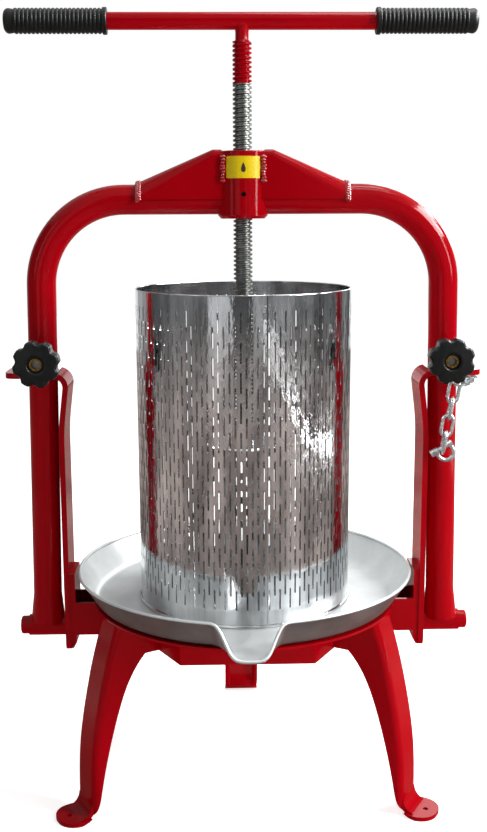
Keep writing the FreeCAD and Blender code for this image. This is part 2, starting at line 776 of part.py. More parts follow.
def knob_insert():
    return ring(insert_diameter / 2, stud_diameter / 2, knob_axis(knob_front + knob_recess_depth - 1.5),
                knob_axis(knob_rear))


def knob_washer():
    return ring(knob_washer_diameter / 2, stud_diameter / 2 + running_gap, knob_axis(ear_front),
                knob_axis(washer_front))


def stud():
    return cylinder(stud_diameter / 2, knob_axis(stud_front), knob_axis(stud_tip))


# The chain hangs from a stepped tab that is bolted under the right-hand table. One side of its
# first link goes through the tab's eye, and the other passes outside the tab's edge.
link_bend = (link_width - wire_diameter) / 2
tab_bolt_x = strap_reach - tab_bolt_inset
chain_x = leg_axis_x(table_bottom) + chain_offset
tab_eye_x = chain_x + link_bend
tab_top = table_bottom
tab_bottom = tab_top - tab_thickness
link_straight = (link_inner_length + wire_diameter) / 2 - link_bend
link_pitch = link_inner_length - chain_slack
# The first link's top bow hangs over the rim outside the eye, and the chain swings about it
first_link_height = tab_top - tab_drop + 2.5 * chain_slack - link_inner_length / 2
chain_pivot = V(chain_x, chain_y, first_link_height + link_straight)


def chain_tab():
    """A flat tab with a step in it, bolted at its upper end, with an eye in its lower end."""
    bolt = V(tab_bolt_x, tab_bolt_y, 0)
    eye = V(tab_eye_x, chain_y, 0)
    along = eye.sub(bolt).normalize()
    side = V(-along.y, along.x, 0) * (tab_width / 2)
    low = tab_bottom - tab_drop
    inner_knee = tab_knee - tab_thickness
    reach = eye.distanceToPoint(bolt)
    steps = [(0, tab_bottom), (inner_knee, tab_bottom), (inner_knee, low), (reach, low),
             (reach, low + tab_thickness), (tab_knee, low + tab_thickness),
             (tab_knee, tab_top), (0, tab_top), (0, tab_bottom)]
    profile = Part.makePolygon([bolt - side + along * out + V(0, 0, height) for out, height in steps])
    tab = Part.Face(profile).extrude(side * 2)
    tab = tab.fuse([cylinder(tab_width / 2, bolt + V(0, 0, tab_bottom), bolt + V(0, 0, tab_top)),
                    cylinder(tab_width / 2, eye + V(0, 0, low), eye + V(0, 0, low + tab_thickness))])
    tab = tab.removeSplitter()
    tab = tab.cut(cylinder(chain_bolt_diameter / 2, bolt + V(0, 0, low), bolt + V(0, 0, tab_top + 1)))
    return tab.cut(cylinder(tab_eye_radius, eye + V(0, 0, low - 1), eye + V(0, 0, tab_bottom)))


def chain_washer():
    top = V(tab_bolt_x, tab_bolt_y, tab_bottom)
    return ring(chain_washer_diameter / 2, chain_bolt_diameter / 2, top - V(0, 0, chain_washer_thickness), top)


def chain_bolt():
    seat = V(tab_bolt_x, tab_bolt_y, tab_bottom - chain_washer_thickness)
    head = hexagon_bar(chain_bolt_flats, seat - V(0, 0, chain_bolt_head), seat)
    shank = cylinder(chain_bolt_diameter / 2, seat, V(tab_bolt_x, tab_bolt_y, strap_table_height))
    return head.fuse(shank).removeSplitter()


def chain_hole():
    return cylinder(chain_bolt_diameter / 2, V(tab_bolt_x, tab_bolt_y, table_bottom - 1),
                    V(tab_bolt_x, tab_bolt_y, strap_table_height + 1))


def hung(shape):
    """Leans a hanging piece about the point where the chain hangs."""
    shape.rotate(chain_pivot, Y_AXIS, chain_lean)
    return shape


def link(middle_height, edge_on):
    """A welded link of round wire, its long axis upright."""
    bow = Part.makeTorus(link_bend, wire_diameter / 2, V(0, 0, 0), Y_AXIS)
    far = link_width
    upper = bow.common(box(V(-far, -far, 0), V(far, far, far)))
    lower = bow.common(box(V(-far, -far, -far), V(far, far, 0)))
    upper.translate(V(0, 0, link_straight))
    lower.translate(V(0, 0, -link_straight))
    sides = [cylinder(wire_diameter / 2, V(x, 0, -link_straight), V(x, 0, link_straight))
             for x in (-link_bend, link_bend)]
    piece = upper.fuse([lower] + sides).removeSplitter()
    if edge_on:
        piece.rotate(V(0, 0, 0), Z_AXIS, 90)
    piece.translate(V(chain_x, chain_y, middle_height))
    return hung(piece)


def chain_links():
    links = []
    for index in range(link_count):
        links.append(link(first_link_height - index * link_pitch, index % 2 == 1))
    return Part.makeCompound(links)


def shackle_origin():
    """Middle of the shackle's pin, which lies slanting across the last link's lower bow."""
    last = first_link_height - (link_count - 1) * link_pitch
    apart = (wire_diameter + shackle_wire) / 2 + chain_slack
    lift = apart / math.cos(math.radians(shackle_turn))
    return V(chain_x, chain_y, last - (link_inner_length + wire_diameter) / 2 + lift)


def shackled(shape):
    """Turns a piece of the shackle from upright, about its pin, into place."""
    shape.rotate(V(0, 0, 0), Y_AXIS, -shackle_turn)
    shape.translate(shackle_origin())
    return hung(shape)


def shackle_bow():
    rail = path([V(-shackle_half_gap, 0, 0), V(-shackle_half_gap, 0, -shackle_leg - shackle_half_gap),
                 V(shackle_half_gap, 0, -shackle_leg - shackle_half_gap), V(shackle_half_gap, 0, 0)],
                [shackle_half_gap - 0.01, shackle_half_gap - 0.01])
    bow = sweep(round_profile(shackle_wire / 2, V(-shackle_half_gap, 0, 0), Z_AXIS), rail)
    for x in (-shackle_half_gap, shackle_half_gap):
        eye = cylinder(shackle_eye_radius, V(x - shackle_wire / 2, 0, 0), V(x + shackle_wire / 2, 0, 0))
        bow = bow.fuse(eye)
    bow = bow.cut(cylinder(shackle_wire / 2, V(-30, 0, 0), V(30, 0, 0)))
    return shackled(bow.removeSplitter())


def shackle_pin():
    half = shackle_pin_length / 2
    pin = cylinder(shackle_wire / 2, V(-half + 2, 0, 0), V(half - 2, 0, 0))
    head = cylinder(shackle_eye_radius, V(-half - 2, 0, 0), V(-half + 2, 0, 0))
    return shackled(pin.fuse(head).removeSplitter())


pieces = {
    "base_disc": base_disc(),
    "front_skirt": skirt(-1),
    "rear_skirt": skirt(1),
    "cross_channel": cross_channel(),
    "left_leg": leg(leg_turns[0]),
    "right_leg": leg(leg_turns[1]),
    "rear_leg": leg(leg_turns[2]),
    "juice_pan": juice_pan(),
    "basket": basket(),
    "pressing_disc": pressing_disc(),
    "screw_nut": screw_nut(),
    "screw": screw(),
    "handle_bar": handle_bar(),
    "pressure_foot": pressure_foot(),
    "foot_pins": foot_pins(),
    "right_strap": strap().cut(chain_hole()),
    "left_strap": mirrored(strap()),
    "chain_tab": chain_tab(),
    "chain_bolt": chain_bolt(),
    "chain_washer": chain_washer(),
    "chain_links": chain_links(),
    "shackle_bow": shackle_bow(),
    "shackle_pin": shackle_pin(),
}
for name, make in (("end_plate", end_plate), ("arch_tube", arch_tube), ("gusset", gusset),
                   ("pivot_lug", lug), ("pivot_pin", pivot_pin), ("pivot_screw", pivot_screw),
                   ("thrust_washer", thrust_ring), ("grip", grip), ("clamp_ear", clamp_ear),
                   ("knob", knob), ("knob_insert", knob_insert), ("knob_washer", knob_washer),
                   ("clamp_stud", stud)):
    shape = make()
    pieces["right_" + name] = shape
    pieces["left_" + name] = mirrored(shape)

os.makedirs("parts", exist_ok=True)
for name, shape in pieces.items():
    shape.exportStep("parts/" + name + ".step")
print(len(pieces), "pieces")
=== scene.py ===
"""A tilting-arch fruit press: its painted frame, perforated basket, pan, screw and clamps."""

import json
import math

import bmesh
import bpy
from mathutils import Matrix, Vector


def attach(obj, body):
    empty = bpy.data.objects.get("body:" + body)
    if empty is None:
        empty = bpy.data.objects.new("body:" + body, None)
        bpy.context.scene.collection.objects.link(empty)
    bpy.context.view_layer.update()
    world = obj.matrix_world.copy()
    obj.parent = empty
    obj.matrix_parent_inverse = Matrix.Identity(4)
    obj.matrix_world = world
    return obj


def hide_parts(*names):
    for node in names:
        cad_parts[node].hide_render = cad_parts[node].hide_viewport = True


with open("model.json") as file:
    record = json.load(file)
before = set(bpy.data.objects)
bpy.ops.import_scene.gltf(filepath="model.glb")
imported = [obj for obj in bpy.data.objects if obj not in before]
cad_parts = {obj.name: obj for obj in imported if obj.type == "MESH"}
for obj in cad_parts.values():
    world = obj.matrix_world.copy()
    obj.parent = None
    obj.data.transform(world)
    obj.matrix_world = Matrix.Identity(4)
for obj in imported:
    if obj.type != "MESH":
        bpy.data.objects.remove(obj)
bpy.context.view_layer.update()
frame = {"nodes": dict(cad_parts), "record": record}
nodes = frame["nodes"]
MM = 0.001

# Sizes of the press in millimetres, as in the CAD model. Z is up, and the spout points along -Y.
BASKET_RADIUS = 125.0
BASKET_BOTTOM = 230.2
BASKET_TOP = 598.2
BASKET_WALL = 1.5
BASKET_TOP_BEAD = 0.9
BASKET_FOOT_BEAD = 1.7
SLOT_COLUMNS = 64           # pairs of staggered columns
SLOT_PERIOD = 32.4
SLOT_ROWS = 10
SLOT_FIRST = 262.0          # middle of the lowest slot
SLOT_LENGTH = 23.4
SLOT_WIDTH = 2.1
SEAM_ACROSS = 22.0          # from the basket's front line to its lapped seam
SCREW_RADIUS = 11.0
SCREW_ROOT = 8.5
THREAD_PITCH = 5.0
THREAD_BOTTOM = 438.3
THREAD_TOP = 871.0
PAINT_BOTTOM = 825.5        # the last turns of the thread are painted
JOURNAL_BOTTOM = 411.0      # the screw's plain end, which turns in the foot
JOURNAL_RADIUS = 7.0
HANDLE_HEIGHT = 893.0
HANDLE_RADIUS = 9.5
GRIP_START = 149.5
GRIP_END = 263.0
GRIP_RADIUS = 13.8
RIB_PITCH = 4.6
RIB_COUNT = 21
RIBS_START = 6.5            # from the grip's inner end
PAN_FLOOR = 229.0
PAN_RIM_HEIGHT = 263.2
PAN_RIM_RADIUS = 198.2
PAN_SHEET = 1.2
PAN_BEAD = 1.9
PAN_WALL_FOOT = 176.5       # radius where the wall leaves the floor
PAN_BEND = 7.0              # how far the bend at the wall's foot reaches
# Half of the spout's upper edge and of the line where its wall leaves its floor, from the round rim to the
# tip, with heights above the pan's underside
SPOUT_EDGE = [(44.0, -193.26, 34.2), (37.8, -195.4, 33.6), (33.4, -198.6, 30.8), (29.2, -203.0, 24.6),
              (24.9, -208.8, 16.6), (20.4, -215.0, 8.8), (15.2, -219.6, 4.2), (8.0, -221.2, 2.9),
              (0.0, -221.4, 2.7)]
SPOUT_FOOT = [(39.2, -172.09, 1.2), (32.4, -176.5, 1.2), (27.8, -183.0, 1.2), (23.4, -191.0, 1.2),
              (19.0, -199.5, 1.1), (15.0, -207.5, 1.0), (11.0, -213.5, 1.0), (5.8, -216.8, 1.0),
              (0.0, -217.4, 1.0)]
SPOUT_STEPS = 15            # points on each half of the spout's lines
ROUND_STEPS = 150           # steps on the round part of the pan
NUT_RADIUS = 28.5
LABEL_BOTTOM = 721.6
LABEL_TOP = 745.7
LABEL_HALF = 20.6
LABEL_CORNER = 1.8
LABEL_LIFT = 0.3            # of the film's outer face from the boss
LABEL_FILM = 0.25
DROP_MIDDLE = 733.6
DROP_HALF = 5.6
INK_LIFT = 0.36
GUSSET_HALF = 19.85         # half of the gussets' depth from front to rear
GUSSET_END = 117.0          # X of their outer ends
ARCH_AXIS = 698.7           # height of the tube's axis under them
WELD_STEP = 3.3
WELD_LENGTH = 30.0          # of the upright beads beside the label
KNOB_HEIGHT = 517.5
KNOB_X = 233.981
KNOB_REAR = -27.0           # Y of its boss's rear face
KNOB_LOBE_REAR = -40.0
KNOB_FRONT = -60.0
KNOB_LOBES = 8
KNOB_RADIUS = 26.5
KNOB_VALLEY = 6.2           # radius of the hollows between its lobes
KNOB_VALLEY_DEPTH = 3.4
CHAIN_X = 242.619
CHAIN_Y = -33.0
CHAIN_LEAN = 9.0            # degrees
LINK_COUNT = 4
FIRST_LINK = 479.25         # height of its middle
LINK_BOW = 6.1
LINK_STRAIGHT = 6.3
LINK_WIRE = 2.15
LINK_PITCH = 20.2

# The white floor under the press, and the studio round it. The shell that paints the studio's unlit sides
# in reflections: degrees from the camera's side, to the right, and brightness
FLOOR_HALF = 6000
ROOM_SIDES = [(-152, 0.40), (-150, 0.60), (-122, 0.42), (-110, 0.13), (-40, 0.20), (-33, 0.85),
              (-16, 0.95), (-12, 0.11), (4, 0.14), (9, 0.55), (32, 0.42), (60, 0.26), (75, 0.18),
              (138, 0.26), (150, 0.12)]
ROOM_FLOOR = [(150, 1), (430, 2), (2000, 40), (3000, 160)]      # radius and height
ROOM_RADIUS = 3000
ROOM_TOP = 2600
# Where each wall of that shell starts, how far it goes round, and the height of its foot. At the rear
# the foot is higher, so that the pan mirrors the white room below it
ROOM_WALLS = [(-150, 300, 160), (150, 60, 960)]
ROOM_FLOOR_LEVEL = 0.46
# A glowing strip on the studio's floor, seen only in reflections, that paints the broken highlight on the
# basket: its points, each with the strip's thickness
SHEET_EDGE = [(912, -2806, 238, 20), (1646, -2265, 142, 22), (1775, -1025, 47, 28), (1866, -229, 39, 34),
              (1787, 479, 38, 38)]
SHEET_GLOW = 6.5
# A glowing pane high on the right, seen only in reflections, that paints a window's highlight: X and Z of
# its lower and upper edge, and the Y of its sides
WINDOW_EDGES = [(2040, 1460), (1590, 2120)]
WINDOW_SIDES = [-1300, 500]
WINDOW_GLOW = 48.0
ROOM_LIGHT = 0.14           # what the white room adds as a light
# Softboxes in metres: place, what they face, width and height, and watts
SOFTBOXES = {
    "right_softbox": ((2.1, -1.0, 1.3), (0, 0, 0.5), (0.4, 1.4), 44),
    "edge_strip": ((1.6, 0.96, 1.74), (0.2, 0, 0.65), (0.5, 0.35), 22),
    "left_softbox": ((-2.0, -1.5, 1.3), (0, 0, 0.5), (0.5, 1.4), 4),
    "top_softbox": ((0.5, 0.2, 2.5), (0, 0, 0.5), (1.2, 0.9), 26),
    "rear_softbox": ((0.9, 1.9, 1.1), (0, 0, 0.3), (0.9, 0.9), 12),
}
# The camera, placed from the rims, arch and handle in the photograph. Its turn to the right, its dip and
# its roll are in degrees
CAMERA_PLACE = (-33.4, -1284.8, 686.1)
CAMERA_TURN = 1.474
CAMERA_DIP = 10.547
CAMERA_ROLL = 0.261
CAMERA_LENS = 47.764
CAMERA_SENSOR = 36.0


def linear(code):
    """An sRGB hex colour as linear red, green, blue and alpha."""
    parts = [int(code[at:at + 2], 16) / 255 for at in (1, 3, 5)]
    return [part / 12.92 if part <= 0.04045 else ((part + 0.055) / 1.055) ** 2.4 for part in parts] + [1.0]


def add(tree, kind, inputs=None, **settings):
    """Adds a node: its settings, and for each input a value, or the socket or node that feeds it."""
    made = tree.nodes.new(kind)
    for name, value in settings.items():
        setattr(made, name, value)
    for key, value in (inputs or {}).items():
        if isinstance(value, bpy.types.Node):
            value = next(output for output in value.outputs if output.enabled)
        if isinstance(value, bpy.types.NodeSocket):
            tree.links.new(value, made.inputs[key])
        else:
            made.inputs[key].default_value = value
    return made


# Materials


def blank(name):
    """A material without nodes, and its node tree."""
    made = bpy.data.materials.new(name)
    made.use_nodes = True
    made.node_tree.nodes.clear()
    return made, made.node_tree


def surface(name, **sockets):
    """A material with one Principled shader, whose constants are given by the names of its sockets."""
    made, tree = blank(name)
    shader = add(tree, "ShaderNodeBsdfPrincipled")
    for socket, value in sockets.items():
        shader.inputs[socket.replace("_", " ")].default_value = value
    add(tree, "ShaderNodeOutputMaterial", {"Surface": shader})
    return made, tree, shader


def clouds(tree, scale, detail=3.0, roughness=0.5, drawn=(1, 1, 1)):
    """A cloudy pattern in the object's own coordinates, drawn out along an axis whose share is below 1."""
    place = add(tree, "ShaderNodeTexCoord").outputs["Object"]
    drawn_out = add(tree, "ShaderNodeMapping", {"Vector": place, "Scale": drawn})
    return add(tree, "ShaderNodeTexNoise", {
        "Vector": drawn_out, "Scale": scale, "Detail": detail, "Roughness": roughness})


def vary(tree, shader, pattern, colours=None, roughness=None, relief=None, span=(0.3, 0.7)):
    """Steers a shader by a pattern: from one colour or roughness to another, or as relief in metres.

    The span holds the pattern's values between which colour and roughness change.
    """
    usual = {"Value": pattern, "From Min": span[0], "From Max": span[1]}
    if colours:
        dark, light = [linear(code) for code in colours]
        share = add(tree, "ShaderNodeMapRange", usual)
        mix = add(tree, "ShaderNodeMix", {"Factor": share, "A": dark, "B": light}, data_type="RGBA")
        tree.links.new(mix.outputs["Result"], shader.inputs["Base Color"])
    if roughness:
        rough = add(tree, "ShaderNodeMapRange", {**usual, "To Min": roughness[0], "To Max": roughness[1]})
        tree.links.new(rough.outputs[0], shader.inputs["Roughness"])
    if relief:
        bump = add(tree, "ShaderNodeBump", {"Height": pattern, "Distance": relief})
        tree.links.new(bump.outputs[0], shader.inputs["Normal"])


def red_powder_enamel(name="red_powder_enamel", gloss=0.1):
    """Polyester powder baked on steel: a deep gloss with a faint orange peel."""
    made, tree, shader = surface(name, Roughness=0.1, Specular_IOR_Level=gloss)
    vary(tree, shader, clouds(tree, 9.0), colours=("#A8000E", "#B40010"))
    # Orange peel has dimples about 3 mm apart
    vary(tree, shader, clouds(tree, 330.0, 1.0), relief=0.00006)
    return made


def polished_stainless():
    """Bright-annealed perforated stainless sheet: a mirror with upright streaks painted into its colour as
    reflections.
    """
    made, tree, shader = surface("polished_stainless", Metallic=1.0)
    # Upright light and dark streaks in the colour: painted reflections of the room
    vary(tree, shader, clouds(tree, 34.0, 4.0, 0.6, (1, 1, 0.12)), colours=("#97989A", "#E0E2E3"))
    vary(tree, shader, clouds(tree, 22.0), roughness=(0.05, 0.16))
    # Dents left by the punch, one to every few slots
    vary(tree, shader, clouds(tree, 95.0, 3.0, 0.6, (1, 1, 0.4)), relief=0.00045)
    return made


def satin_stainless():
    """Spun, pickled stainless sheet: soft broad reflections, cloudy inside, painted shade where it faces
    down.
    """
    made, tree, shader = surface("satin_stainless", Metallic=0.28)
    haze = add(tree, "ShaderNodeMapRange", {
        "Value": clouds(tree, 16.0, 5.0, 0.6), "From Min": 0.3, "From Max": 0.7})
    # The second pair is painted shade: the dark floor and legs mirrored on faces that look down
    upper, lower = [
        add(tree, "ShaderNodeMix", {"Factor": haze, "A": linear(dark), "B": linear(light)},
            data_type="RGBA")
        for dark, light in (("#CDD2D2", "#E6EAEA"), ("#5E5451", "#7A706C"))]
    normal = add(tree, "ShaderNodeTexCoord").outputs["Normal"]
    facing = add(tree, "ShaderNodeSeparateXYZ", {0: normal}).outputs["Z"]
    under = add(tree, "ShaderNodeMapRange", {
        "Value": facing, "From Min": -0.5, "From Max": -0.1, "To Min": 1.0, "To Max": 0.0})
    sheet = add(tree, "ShaderNodeMix", {"Factor": under, "A": upper, "B": lower}, data_type="RGBA")
    tree.links.new(sheet.outputs["Result"], shader.inputs["Base Color"])
    vary(tree, shader, clouds(tree, 50.0, 4.0), roughness=(0.30, 0.46))
    # Rolling marks, drawn coarser than the real ones so that they show
    vary(tree, shader, clouds(tree, 420.0, drawn=(1, 0.2, 1)), relief=0.00005)
    return made


def machined_steel():
    """A turned screw with a film of grease: dull grey, blotched in clouds."""
    made, tree, shader = surface("machined_steel", Metallic=1.0)
    vary(tree, shader, clouds(tree, 120.0, 4.0), colours=("#5E605E", "#8C8E8A"))
    vary(tree, shader, clouds(tree, 300.0), roughness=(0.28, 0.45))
    return made


def bright_zinc():
    """Electroplated zinc on chain and washers: pale and slightly blotched."""
    made, tree, shader = surface("bright_zinc", Metallic=1.0)
    vary(tree, shader, clouds(tree, 260.0, 4.0), colours=("#A6ABAE", "#E4E8EA"))
    vary(tree, shader, clouds(tree, 500.0), roughness=(0.2, 0.42))
    vary(tree, shader, clouds(tree, 700.0, 2.0), relief=0.00008)
    return made


def turned_brass():
    """The knob's threaded insert: turned, slightly tarnished."""
    made, tree, shader = surface("turned_brass", Metallic=1.0)
    vary(tree, shader, clouds(tree, 400.0), colours=("#4E3A16", "#A07C38"), roughness=(0.18, 0.4))
    return made


def moulded_phenolic():
    """Pressed black thermoset on the hand knobs: satin with a greyish sheen on its edges."""
    made, tree, shader = surface("moulded_phenolic", Roughness=0.34, IOR=1.55, Specular_IOR_Level=0.2)
    vary(tree, shader, clouds(tree, 180.0), colours=("#0D0F0F", "#151818"))
    vary(tree, shader, clouds(tree, 900.0, 2.0), relief=0.00004)
    return made


def ribbed_vinyl():
    """Dipped black PVC on the handle: soft, a little dusty."""
    made, tree, shader = surface("ribbed_vinyl", Roughness=0.42, IOR=1.52, Specular_IOR_Level=0.2)
    vary(tree, shader, clouds(tree, 90.0, 4.0), colours=("#0F1111", "#1A1D1C"))
    vary(tree, shader, clouds(tree, 1100.0, 2.0), relief=0.00005)
    return made


def yellow_label_film():
    """Printed vinyl film on the boss: flat yellow with a light varnish."""
    made, tree, shader = surface("yellow_label_film", Roughness=0.35, IOR=1.5, Specular_IOR_Level=0.2)
    vary(tree, shader, clouds(tree, 700.0, 2.0), colours=("#F0CC04", "#FFE010"))
    return made


def label_ink():
    """Dark brown print on the label."""
    made, tree, shader = surface("label_ink", Roughness=0.4, IOR=1.5)
    vary(tree, shader, clouds(tree, 800.0), colours=("#2A1708", "#3A2410"), span=(0, 1))
    return made


RED = red_powder_enamel()
# The powder runs together over the weld ripples, whose wet gloss glints in the lamps
WET_RED = red_powder_enamel("red_enamel_pooled_on_welds", 0.9)
MIRROR = polished_stainless()
SATIN = satin_stainless()
STEEL = machined_steel()
ZINC = bright_zinc()
BRASS = turned_brass()
BLACK = moulded_phenolic()
VINYL = ribbed_vinyl()
YELLOW = yellow_label_film()
INK = label_ink()


# Meshes


def polar(radius, angle, height):
    """The point at a distance from the Z axis and an angle round it."""
    return (radius * math.cos(angle), radius * math.sin(angle), height)


def full_turn(steps):
    """The angles of evenly spread steps all the way round."""
    return [2 * math.pi * step / steps for step in range(steps)]


def skin(rings, around=True, along=False):
    """Faces between rows of points. Each row goes anticlockwise as seen from where the rows end."""
    made = bmesh.new()
    rows = [[made.verts.new(Vector(point) * MM) for point in ring] for ring in rings]
    pairs = list(zip(rows, rows[1:])) + ([(rows[-1], rows[0])] if along else [])
    for low, high in pairs:
        count = max(len(low), len(high))
        for at in range(count if around else count - 1):
            corners = [low[at % len(low)], low[(at + 1) % len(low)],
                       high[(at + 1) % len(high)], high[at % len(high)]]
            corners = [corner for index, corner in enumerate(corners) if corner not in corners[:index]]
            made.faces.new(corners)
    mesh = bpy.data.meshes.new("skin")
    made.to_mesh(mesh)
    made.free()
    return mesh


def turned(profile, segments=96, along=False):
    """A mesh turned round Z from radius and height pairs, with the outside to the right going up."""
    rings = []
    for radius, height in profile:
        angles = full_turn(segments) if radius > 0 else [0]
        rings.append([polar(radius, angle, height) for angle in angles])
    return skin(rings, along=along)


def together(*meshes):
    """Several meshes as one."""
    made = bmesh.new()
    for mesh in meshes:
        made.from_mesh(mesh)
    whole = bpy.data.meshes.new("whole")
    made.to_mesh(whole)
    made.free()
    return whole


def moved(mesh, *steps):
    """The mesh after some placing matrices, the first one first."""
    for step in steps:
        mesh.transform(step)
    return mesh


def shift(x, y, z):
    return Matrix.Translation(Vector((x, y, z)) * MM)


def turn(degrees, axis):
    return Matrix.Rotation(math.radians(degrees), 4, axis)


def flipped(mesh):
    """The mesh mirrored to the other side of the YZ plane, its faces still outwards."""
    other = mesh.copy()
    other.transform(Matrix.Scale(-1, 4, (1, 0, 0)))
    other.flip_normals()
    return other


def outwards(mesh):
    """Doubles merged and normals recalculated."""
    made = bmesh.new()
    made.from_mesh(mesh)
    bmesh.ops.remove_doubles(made, verts=made.verts, dist=1e-6)
    bmesh.ops.recalc_face_normals(made, faces=made.faces)
    made.to_mesh(mesh)
    made.free()
    return mesh


def piece(name, mesh, material, body, slot, *stands_for, sharp=40):
    """A finished piece: smooth but for its edges, painted, and riding on its body."""
    mesh.shade_smooth()
    mesh.set_sharp_from_angle(angle=math.radians(sharp))
    mesh.materials.clear()
    mesh.materials.append(material)
    made = bpy.data.objects.new(name, mesh)
    bpy.context.scene.collection.objects.link(made)
    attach(made, body)
    if stands_for:
        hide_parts(*stands_for)


def evaluated(shape, build=None):
    """The plain mesh of a mesh or curve, after the modifiers that build(object) adds."""
    holder = bpy.data.objects.new("holder", shape)
    bpy.context.scene.collection.objects.link(holder)
    if build:
        build(holder)
    graph = bpy.context.evaluated_depsgraph_get()
    result = bpy.data.meshes.new_from_object(holder.evaluated_get(graph))
    bpy.data.objects.remove(holder)
    return result


def wire_loop(line, radius):
    """Round wire along a closed line of points."""
    curve = bpy.data.curves.new("wire", "CURVE")
    curve.dimensions = "3D"
    curve.bevel_depth = radius * MM
    curve.bevel_resolution = 3
    spline = curve.splines.new("POLY")
    spline.points.add(len(line) - 1)
    for point, place in zip(spline.points, line):
        point.co = [part * MM for part in place] + [1]
    spline.use_cyclic_u = True
    return outwards(evaluated(curve))


# Copies of a shape by geometry nodes, each a step further on and turned once more


def copies_tree():
    tree = bpy.data.node_groups.new("copies_in_step", "GeometryNodeTree")
    for name, kind in (("Shape", "Geometry"), ("Count", "Int"), ("Step", "Vector"), ("Turn", "Float"),
                       ("Weld", "Float"), ("Finish", "Material")):
        tree.interface.new_socket(name=name, in_out="INPUT", socket_type="NodeSocket" + kind)
    tree.interface.new_socket(name="Copies", in_out="OUTPUT", socket_type="NodeSocketGeometry")
    given = add(tree, "NodeGroupInput").outputs
    number = add(tree, "GeometryNodeInputIndex")
    offset = add(tree, "ShaderNodeVectorMath", {0: given["Step"], "Scale": number}, operation="SCALE")
    angle = add(tree, "ShaderNodeMath", {0: given["Turn"], 1: number}, operation="MULTIPLY")
    lean = add(tree, "ShaderNodeCombineXYZ", {"Z": angle})
    points = add(tree, "GeometryNodePoints", {"Count": given["Count"]})
    spaced = add(tree, "GeometryNodeSetPosition", {"Geometry": points, "Position": offset})
    spin = add(tree, "FunctionNodeEulerToRotation", {0: lean})
    copies = add(tree, "GeometryNodeInstanceOnPoints", {
        "Points": spaced, "Instance": given["Shape"], "Rotation": spin})
    real = add(tree, "GeometryNodeRealizeInstances", {0: copies})
    welded = add(tree, "GeometryNodeMergeByDistance", {"Geometry": real, "Distance": given["Weld"]})
    painted = add(tree, "GeometryNodeSetMaterial", {"Geometry": welded, "Material": given["Finish"]})
    add(tree, "NodeGroupOutput", {0: painted})
    return tree


COPIES = copies_tree()


def repeated(mesh, material, count, step=(0, 0, 0), turn_by=0.0, weld=0.00002):
    """The shape copied by the node tree: step in millimetres, turn_by in degrees, weld in metres."""
    values = {"Count": count, "Step": Vector(step) * MM, "Turn": math.radians(turn_by), "Weld": weld,
              "Finish": material}

    def build(holder):
        tool = holder.modifiers.new("copies", "NODES")
        tool.node_group = COPIES
        for item in COPIES.interface.items_tree:
            if item.item_type == "SOCKET" and item.in_out == "INPUT" and item.name in values:
                tool[item.identifier] = values[item.name]

    return evaluated(mesh, build)


def thickened(mesh, thickness):
    """A sheet given its wall on the inside of its faces, in millimetres."""

    def build(holder):
        tool = holder.modifiers.new("wall", "SOLIDIFY")
        tool.thickness = thickness * MM
        tool.offset = -1

    return evaluated(mesh, build)


# Basket


def slotted_column(made, middle_turn, first_slot):
    """One unrolled column of slots, laid on the basket's outside round a middle line."""
    half_turn = math.pi / (2 * SLOT_COLUMNS)
    end_run = SLOT_LENGTH / 2 - SLOT_WIDTH / 2
    half = SLOT_WIDTH / 2
    corner = half * math.sqrt(0.5)

    def point(across, height):
        angle = middle_turn + across / BASKET_RADIUS
        return made.verts.new(Vector(polar(BASKET_RADIUS, angle, height)) * MM)

    reach = half_turn * BASKET_RADIUS
    centres = [first_slot + row * SLOT_PERIOD for row in range(SLOT_ROWS)]
    for side in (-1, 1):
        for centre in centres:
            low, high = centre - SLOT_PERIOD / 2, centre + SLOT_PERIOD / 2
            edge = [point(side * reach, height) for height in (low, centre, high)]
            spine_low, spine_high = point(0, low), point(0, high)
            rim = [point(0, centre - end_run - half), point(side * corner, centre - end_run - corner),
                   point(side * half, centre - end_run), point(side * half, centre + end_run),
                   point(side * corner, centre + end_run + corner), point(0, centre + end_run + half)]
            faces = [(edge[0], rim[2], edge[1]), (edge[1], rim[2], rim[3]), (edge[1], rim[3], edge[2]),
                     (edge[0], rim[1], rim[2]), (edge[0], spine_low, rim[0], rim[1]),
                     (edge[2], rim[3], rim[4]), (edge[2], rim[4], rim[5], spine_high)]
            for face in faces:
                made.faces.new(face if side < 0 else face[::-1])
        # Plain sheet below and above the slots, with points where the next column has them
        step = SLOT_PERIOD / 2
        below = [height for height in (SLOT_FIRST - step, SLOT_FIRST) if height < centres[0] - step + 1]
        above = [SLOT_FIRST + level * step for level in range(2 * SLOT_ROWS - 1, 2 * SLOT_ROWS + 1)]
        above = [height for height in above if height > centres[-1] + step - 1]
        for levels in ([BASKET_BOTTOM] + below, above + [BASKET_TOP]):
            for low, high in zip(levels, levels[1:]):
                face = (point(side * reach, low), point(0, low), point(0, high), point(side * reach, high))
                made.faces.new(face if side < 0 else face[::-1])


def bead(radius, height, roll):
    """A thin ring with a round section."""
    section = [(radius + roll * math.cos(around), height + roll * math.sin(around))
               for around in full_turn(12)]
    return turned(section, 128, along=True)


